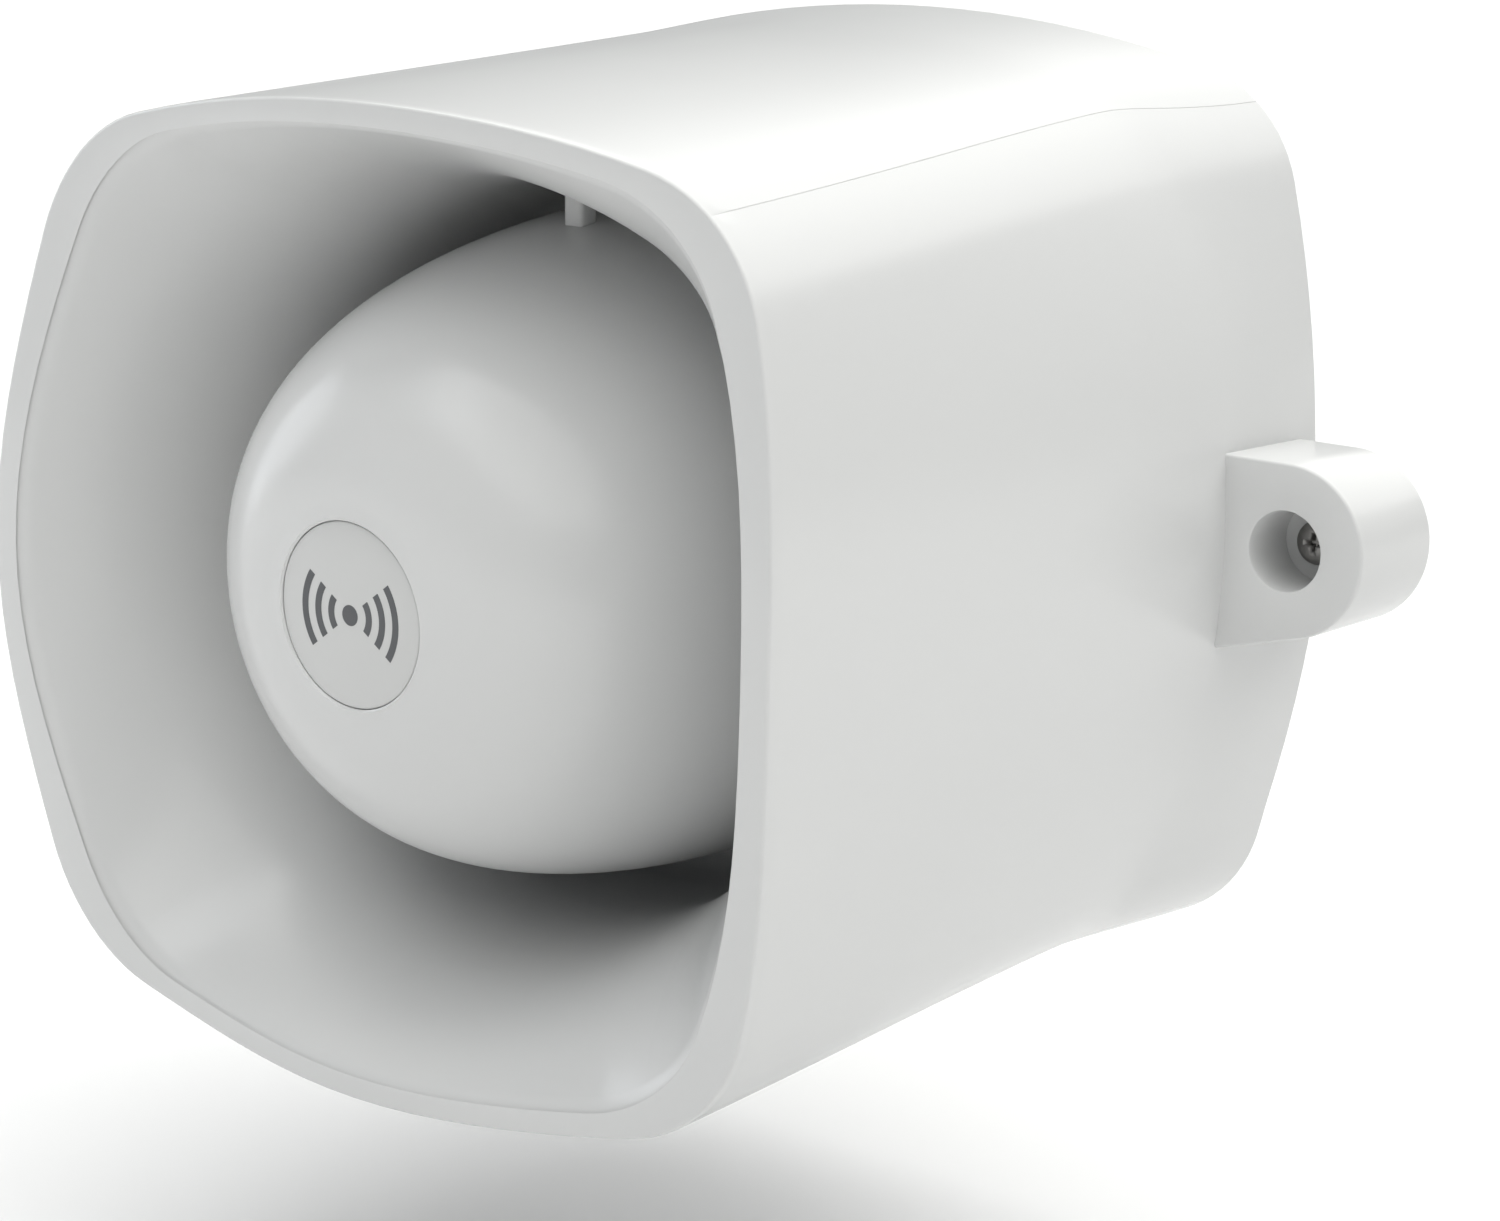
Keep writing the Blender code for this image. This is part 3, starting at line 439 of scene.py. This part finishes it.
def circle_like(outline, radius):
    """The points of a circle about the duct's axis, at the same angles as the outline's points."""
    angles = [math.atan2(z + MOUTH_DROP, x) for x, z in outline]
    return [(radius * math.cos(a), radius * math.sin(a) + DUCT_Z) for a in angles]


def flare_ring(t, outward=0.0, back=0.0):
    """The flare's ring at t, from 0 at the rim's inner edge to 1 where it becomes the round well."""
    rim = bowed_outline(RIM_INSIDE, -outward)
    share = 1 - (1 - t) ** FLARE_POWER
    y = -DEPTH + (FLARE_END + DEPTH) * t + back
    outline = [
        (a + (c - a) * share, b + (d - b) * share)
        for (a, b), (c, d) in zip(rim, circle_like(rim, WELL_RADIUS + outward))
    ]
    return ring(outline, y, (1 - t) ** 2)


def rounding():
    """(inset, back) pairs of a moulded edge's radius, from the side to the face."""
    angles = [math.pi / 2 * i / EDGE_STEPS for i in range(EDGE_STEPS + 1)]
    return [(EDGE * (1 - math.cos(a)), EDGE * (1 - math.sin(a))) for a in angles]


# Housing --------------------------------------------------------------------------------------------------


def shell_rings():
    """Rings from the skirt forward, over the rim, down the flare, round the well and back inside the wall."""
    outside = [SKIRT_EDGE, SKIRT_EDGE - SKIRT_LIP, EAR_REAR, EAR_FRONT]
    outside += [SHELL_FIRST - SHELL_STEP * i for i in range(SHELL_RINGS)]
    rings = [outer_ring(y) for y in sorted(outside, reverse=True)]
    for inset, back in rounding():
        rings.append(ring(bowed_outline(FRONT, inset), -DEPTH + back, 1))
    for inset, back in reversed(rounding()[1:]):
        rings.append(ring(bowed_outline(RIM_INSIDE, inset - EDGE), -DEPTH + back, 1))
    rings += [flare_ring(t) for t in [FLARE_FIRST] + [i / FLARE_STEPS for i in range(1, FLARE_STEPS + 1)]]
    base = bowed_outline(RIM_INSIDE)
    rings += [ring(circle_like(base, radius), y) for radius, y in well_profile()]
    rings += [flare_ring(t, FLARE_WALL, FLARE_BACK) for t in FLARE_BACK_PLACES]
    inside = [(y, 0) for y in INSIDE_PLACES]
    inside += [(LEDGE_Y - LEDGE_THICK, LEDGE), (LEDGE_Y, LEDGE), (LEDGE_Y, 0), (SKIRT_EDGE, 0)]
    for y, ledge in inside:
        rings.append(ring(bowed_outline(station_at(y), WALL + ledge), y, fade(y)))
    return rings


def well_profile():
    """(radius, y) of the well: its wall, fillet and floor in to the duct, and its back out to the flare."""
    profile = [(WELL_RADIUS, y) for y in WELL_PLACES]
    for i in range(1, WELL_FILLET_STEPS + 1):
        angle = math.pi / 2 * i / WELL_FILLET_STEPS
        inset, short = WELL_FILLET * (1 - math.cos(angle)), WELL_FILLET * (1 - math.sin(angle))
        profile.append((WELL_RADIUS - inset, WELL_FLOOR - short))
    behind = WELL_FLOOR + WELL_FLOOR_THICK
    across, deep = WELL_BEVEL
    profile += [(DUCT_HOLE, WELL_FLOOR), (DUCT_HOLE, behind)]
    return profile + [(WELL_RADIUS - across, behind), (WELL_RADIUS + FLARE_WALL, behind - deep)]


def housing():
    """The outer shell, folded back at the rim into the horn flare and the round well, with its two ears."""
    shape = bmesh.new()
    loft(shape, shell_rings())
    shell = as_mesh(shape, "shell")
    for side in (1, -1):
        shell = less(shell, notch(side))
    shape = bmesh.new()
    shape.from_mesh(shell)
    for side in (1, -1):
        loft(shape, ear_rings(side))
    piece(as_mesh(shape, "housing_shell", 40), "housing_shell", "white_plastic", "housing", "horn_housing")


def notch(side):
    """The slot that lets the base plate's tab through the skirt."""
    shape = bmesh.new()
    at = Matrix.Translation((side * NOTCH_X, NOTCH_Y, 0))
    bmesh.ops.create_cube(shape, size=1, matrix=at @ Matrix.Diagonal((*NOTCH_SIZE, 1)))
    return as_mesh(shape, "notch")


def ear_outline(side, inset, y):
    """An ear seen from the front: round outside, level on top, and drafted below."""
    points = []
    for i in range(EAR_STEPS):
        angle = math.pi - 2 * math.pi * i / EAR_STEPS
        c, s = math.cos(angle), math.sin(angle)
        # The angle past the round stretch, above or below, where the outline runs on straight
        past = max(0, angle - math.pi / 2, EAR_DRAFT - math.pi / 2 - angle)
        reach = (EAR_RADIUS - inset) / max(math.cos(past), 1e-6)
        if c < 0:
            reach = min(reach, (EAR_X - EAR_ROOT) / -c)
        points.append((side * (EAR_X + reach * c), y, reach * s))
    return points


def ear_rings(side):
    """Rings of an ear, from its outline at the rear round its front and through its counterbore."""

    def hole(radius, y):
        return [(side * (EAR_X - px), y, pz) for px, _, pz in circle(radius, 0, 0, 0, EAR_STEPS)]

    rings = [ear_outline(side, EAR_EDGE, EAR_REAR), ear_outline(side, 0, EAR_REAR - EAR_EDGE)]
    rings += [ear_outline(side, inset, EAR_FRONT + back) for inset, back in rounding()]
    rings += [hole(COUNTERBORE_RADIUS + wider, EAR_FRONT + deeper) for wider, deeper in COUNTERBORE_LIP]
    rings += [hole(COUNTERBORE_RADIUS, COUNTERBORE_FLOOR)]
    rings += [hole(SCREW_HOLE, COUNTERBORE_FLOOR), hole(SCREW_HOLE, POCKET_FLOOR)]
    rings += [hole(POCKET_RADIUS, POCKET_FLOOR), hole(POCKET_RADIUS, EAR_REAR)]
    return rings


# Dome and badge -------------------------------------------------------------------------------------------


TILTED = (
    Matrix.Translation((0, NOSE, -MOUTH_DROP))
    @ Matrix.Rotation(DOME_TILT, 4, "X")
    @ Matrix.Translation((0, -NOSE, 0))
)


def bell(shares, radius, length):
    """(radius, y) of a bell whose rear is level with the dome's, at shares of its length from its front."""
    front = NOSE + DOME_LENGTH - length
    return [(radius * (1 - (1 - share) ** 2) ** DOME_POWER, front + length * share) for share in shares]


def dome():
    """The bell-shaped reflector, open to the rear, with three struts that reach the well."""
    spread = [(i / DOME_STEPS) ** DOME_CROWDING for i in range(DOME_STEPS + 1)]
    shares = [NOSE_START + (1 - NOSE_START) * place for place in spread]
    outer = bell(shares, DOME_RADIUS, DOME_LENGTH)
    inner = bell(shares[6::3], DOME_RADIUS - DOME_WALL, DOME_LENGTH - NOSE_WALL)
    recess = BADGE_RADIUS + BADGE_GAP
    profile = [(0, NOSE + BADGE_SEAT), (recess, NOSE + BADGE_SEAT)]
    profile += [(recess, NOSE + BADGE_SUNK), (recess + BADGE_SUNK, NOSE)]
    profile += outer + inner[::-1]
    profile.append((0, inner[0][1] - NOSE_INSIDE))
    mesh = turned("dome_shell", profile, 0, DOME_AROUND)
    mesh.transform(TILTED)
    shape = bmesh.new()
    shape.from_mesh(mesh)
    for angle in STRUT_ANGLES:
        strut(shape, angle)
    piece(as_mesh(shape, "dome_shell"), "dome_shell", "white_plastic", "housing", "reflector_dome")


def strut(shape, angle):
    """A short post from the dome to the well, with rounded edges."""
    corners = []
    for sx, sy, start in ((1, 1, 0), (-1, 1, 90), (-1, -1, 180), (1, -1, 270)):
        for i in range(STRUT_EDGE_STEPS + 1):
            a = math.radians(start + 90 * i / STRUT_EDGE_STEPS)
            across = sx * (STRUT_HALF_WIDTH - STRUT_EDGE) + STRUT_EDGE * math.cos(a)
            along = sy * (STRUT_HALF_DEPTH - STRUT_EDGE) + STRUT_EDGE * math.sin(a)
            corners.append((across, along))
    rings = []
    for reach in (DOME_RADIUS - STRUT_ROOT, WELL_RADIUS - STRUT_GAP):
        row = []
        for across, along in corners:
            x = reach * math.cos(angle) - across * math.sin(angle)
            z = reach * math.sin(angle) + across * math.cos(angle)
            row.append((x, STRUT_Y + along, z + DUCT_Z))
        rings.append(row)
    prism(shape, rings)


def badge():
    """A flat disc with a softened edge, and a mark of sound waves either side of a dot."""
    front, back = NOSE + BADGE_SUNK, NOSE + BADGE_SEAT - GAP
    profile = [(0, front)] + [(BADGE_RADIUS - inset, front + fall) for inset, fall in BADGE_ROUNDING]
    profile += [(BADGE_RADIUS, back), (0, back)]
    disc = turned("badge_plate", profile, 0, BADGE_AROUND)
    disc.transform(TILTED)
    piece(disc, "badge_plate", "badge_white", "housing", "badge_disc")
    shape = bmesh.new()
    faces = (front - MARK_PROUD, front + MARK_ROOT)
    for radius in MARK_RADII:
        for middle in (0, math.pi):
            prism(shape, [wave(radius, middle, y) for y in faces])
    prism(shape, [circle(MARK_DOT, 0, y, 0, DOT_AROUND) for y in faces])
    mark = as_mesh(shape, "badge_mark")
    mark.transform(TILTED)
    piece(mark, "badge_mark", "mark_ink", "housing")


def wave(radius, middle, y):
    """The outline of one arc of the mark, about the badge's centre."""
    angles = [middle + MARK_HALF_ANGLE * (2 * i / MARK_STEPS - 1) for i in range(MARK_STEPS + 1)]
    edge = [(radius + MARK_WIDTH / 2, a) for a in angles]
    edge += [(radius - MARK_WIDTH / 2, a) for a in reversed(angles)]
    return [(r * math.cos(a), y, r * math.sin(a)) for r, a in edge]


# Screws and base plate ------------------------------------------------------------------------------------


def case_screws():
    """Pan heads with a cross recess at the bottom of the counterbores."""
    seat = COUNTERBORE_FLOOR - GAP
    top = seat - HEAD_HEIGHT
    profile = [(0, top)]
    for i in range(1, HEAD_STEPS + 1):
        angle = math.pi / 2 * i / HEAD_STEPS
        fall = HEAD_HEIGHT * HEAD_CROWN * (1 - math.cos(angle))
        profile.append((HEAD_RADIUS * math.sin(angle), top + fall))
    profile += [(HEAD_RADIUS, seat - HEAD_EDGE), (HEAD_RADIUS - HEAD_EDGE, seat)]
    shank = seat + SHANK_LENGTH
    profile += [(SHANK_RADIUS, seat), (SHANK_RADIUS, shank)]
    profile += [(TIP_RADIUS, shank + TIP_LENGTH), (0, shank + TIP_LENGTH)]
    for side, label in ((1, "right"), (-1, "left")):
        name = "case_screw_head_" + label
        mesh = less(turned(name, profile, side * EAR_X, SCREW_AROUND), cross(side * EAR_X, top))
        # the screws' steel finish has painted shade of the counterbore darkening its colour
        piece(mesh, name, "screw_steel", "housing", "case_screw_" + label)


def cross(x, top):
    """The cross recess of a screw's head, which narrows as it goes down."""
    arm = [(CROSS_ARM, CROSS_SLOT), (CROSS_SLOT, CROSS_SLOT), (CROSS_SLOT, CROSS_ARM)]
    turns = ((1, 0), (0, 1), (-1, 0), (0, -1))
    outline = [(px * c - pz * s, px * s + pz * c) for c, s in turns for px, pz in arm]
    shape = bmesh.new()
    levels = ((top - CROSS_ABOVE, 1), (top + CROSS_DEPTH, CROSS_TAPER))
    prism(shape, [[(x + px * share, y, pz * share) for px, pz in outline] for y, share in levels])
    return as_mesh(shape, "cross")


def softened(node, name, slot, body, width):
    """A copy of a frame solid whose edges carry a small moulded radius."""
    shape = bmesh.new()
    shape.from_mesh(frame["nodes"][node].data)
    bmesh.ops.remove_doubles(shape, verts=shape.verts, dist=1e-6)
    bmesh.ops.dissolve_limit(shape, angle_limit=math.radians(1), verts=shape.verts, edges=shape.edges)
    edges = [e for e in shape.edges if e.is_manifold and e.calc_face_angle(0) > math.radians(45)]
    bmesh.ops.bevel(
        shape, geom=edges, offset=width, segments=2, profile=0.5, affect="EDGES", clamp_overlap=True
    )
    piece(as_mesh(shape, name), name, slot, body, node)


def tamper_spring():
    """The plunger's spring, copied from the frame's solid with a mesh of its own."""
    mesh = frame["nodes"]["tamper_spring"].data.copy()
    mesh.materials.clear()
    made = piece(mesh, "tamper_spring_coil", "zinc_steel", "housing", "tamper_spring")
    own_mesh(made)


# Building -------------------------------------------------------------------------------------------------

housing()
dome()
badge()
case_screws()
tamper_spring()
softened("base_plate", "base_plate_moulded", "plate_white", "housing", PLATE_EDGE)
softened("cable_grommet", "cable_bush", "black_rubber", "housing", BUSH_EDGE)


# Floor, lights and camera ---------------------------------------------------------------------------------


def stage_floor():
    """A plain pale floor below the horn."""
    shape = bmesh.new()
    under = Matrix.Translation((0, 0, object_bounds()[0][2] - FLOOR_DROP))
    bmesh.ops.create_grid(shape, x_segments=1, y_segments=1, size=FLOOR_SIZE, matrix=under)
    floor = bpy.data.objects.new("floor", as_mesh(shape, "floor"))
    bpy.context.scene.collection.objects.link(floor)
    floor.data.materials.append(FINISHES["floor_paper"])


def area_light(name, at, size, power):
    """A round soft box, slightly cool, that faces the horn."""
    data = bpy.data.lights.new(name, "AREA")
    data.shape, data.size, data.energy, data.color = "DISK", size, power, (0.93, 0.96, 1)
    made = bpy.data.objects.new(name, data)
    made.location = at
    made.rotation_euler = (SOFTBOX_AIM - Vector(at)).to_track_quat("-Z", "Y").to_euler()
    bpy.context.scene.collection.objects.link(made)


def sun_light(name, towards, strength):
    """Broad light from one side, slightly warm and the same all over the stage."""
    data = bpy.data.lights.new(name, "SUN")
    data.energy, data.angle, data.color = strength, SUN_SPREAD, (1, 0.998, 0.972)
    made = bpy.data.objects.new(name, data)
    made.rotation_euler = Vector(towards).to_track_quat("-Z", "Y").to_euler()
    bpy.context.scene.collection.objects.link(made)


def studio():
    """A pale backdrop, faint light from all round, two broad suns from above and three soft boxes."""
    world = bpy.data.worlds.new("studio")
    world.use_nodes = True
    tree = world.node_tree
    ambient = tree.nodes["Background"]
    ambient.inputs["Color"].default_value = (0.90, 0.95, 1, 1)
    ambient.inputs["Strength"].default_value = 0.14
    backdrop = tree.nodes.new("ShaderNodeBackground")
    backdrop.inputs["Color"].default_value = (0.96, 0.965, 0.97, 1)
    seen, choice = tree.nodes.new("ShaderNodeLightPath"), tree.nodes.new("ShaderNodeMixShader")
    tree.links.new(seen.outputs["Is Camera Ray"], choice.inputs["Fac"])
    tree.links.new(ambient.outputs["Background"], choice.inputs[1])
    tree.links.new(backdrop.outputs["Background"], choice.inputs[2])
    tree.links.new(choice.outputs["Shader"], tree.nodes["World Output"].inputs["Surface"])
    bpy.context.scene.world = world
    bpy.context.scene.view_settings.view_transform = "Standard"
    sun_light("overhead", (-0.36, 0.22, -1), 2.0)
    sun_light("rear", (0, -0.5, -1), 2.4)
    area_light("front", (-0.5, -1.0, 0.0), 0.7, 0.2)
    area_light("above", (-0.3, -0.7, 1.0), 0.7, 1.2)
    area_light("left", (-1.3, -0.3, 0.3), 0.8, 3.0)


def camera():
    """A long lens at the horn's right front, a little above it."""
    data = bpy.data.cameras.new("camera")
    data.lens, data.sensor_width = LENS, 36
    data.clip_start, data.clip_end = 0.01, 50
    made = bpy.data.objects.new("camera", data)
    made.location, made.rotation_euler = CAMERA_AT, CAMERA_TURN
    bpy.context.scene.collection.objects.link(made)
    bpy.context.scene.camera = made


stage_floor()
studio()
camera()
